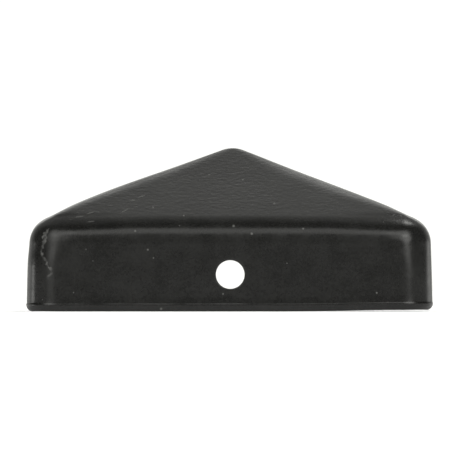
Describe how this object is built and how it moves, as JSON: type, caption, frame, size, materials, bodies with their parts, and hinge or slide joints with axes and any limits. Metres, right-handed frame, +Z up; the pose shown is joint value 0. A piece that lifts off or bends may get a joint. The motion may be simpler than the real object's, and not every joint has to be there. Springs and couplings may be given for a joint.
{
  "type": "fence post cap",
  "caption": "Pyramid-roofed square cap of black coated pressed steel that slips over the top of a timber post, with a fixing hole in each of two opposite skirt walls.",
  "frame": {"origin": "centre of the rim plane, under the tip", "axes": "+Z up from the rim to the tip; the two screw holes share one axis parallel to Y; X is square to both"},
  "size_m": [0.0734, 0.0734, 0.0297],
  "materials": {
    "black_powder_coat": "semi-gloss black powder coat with a fine orange-peel texture"
  },
  "bodies": {
    "root": {"cap_shell": "black_powder_coat"}
  },
  "joints": []
}
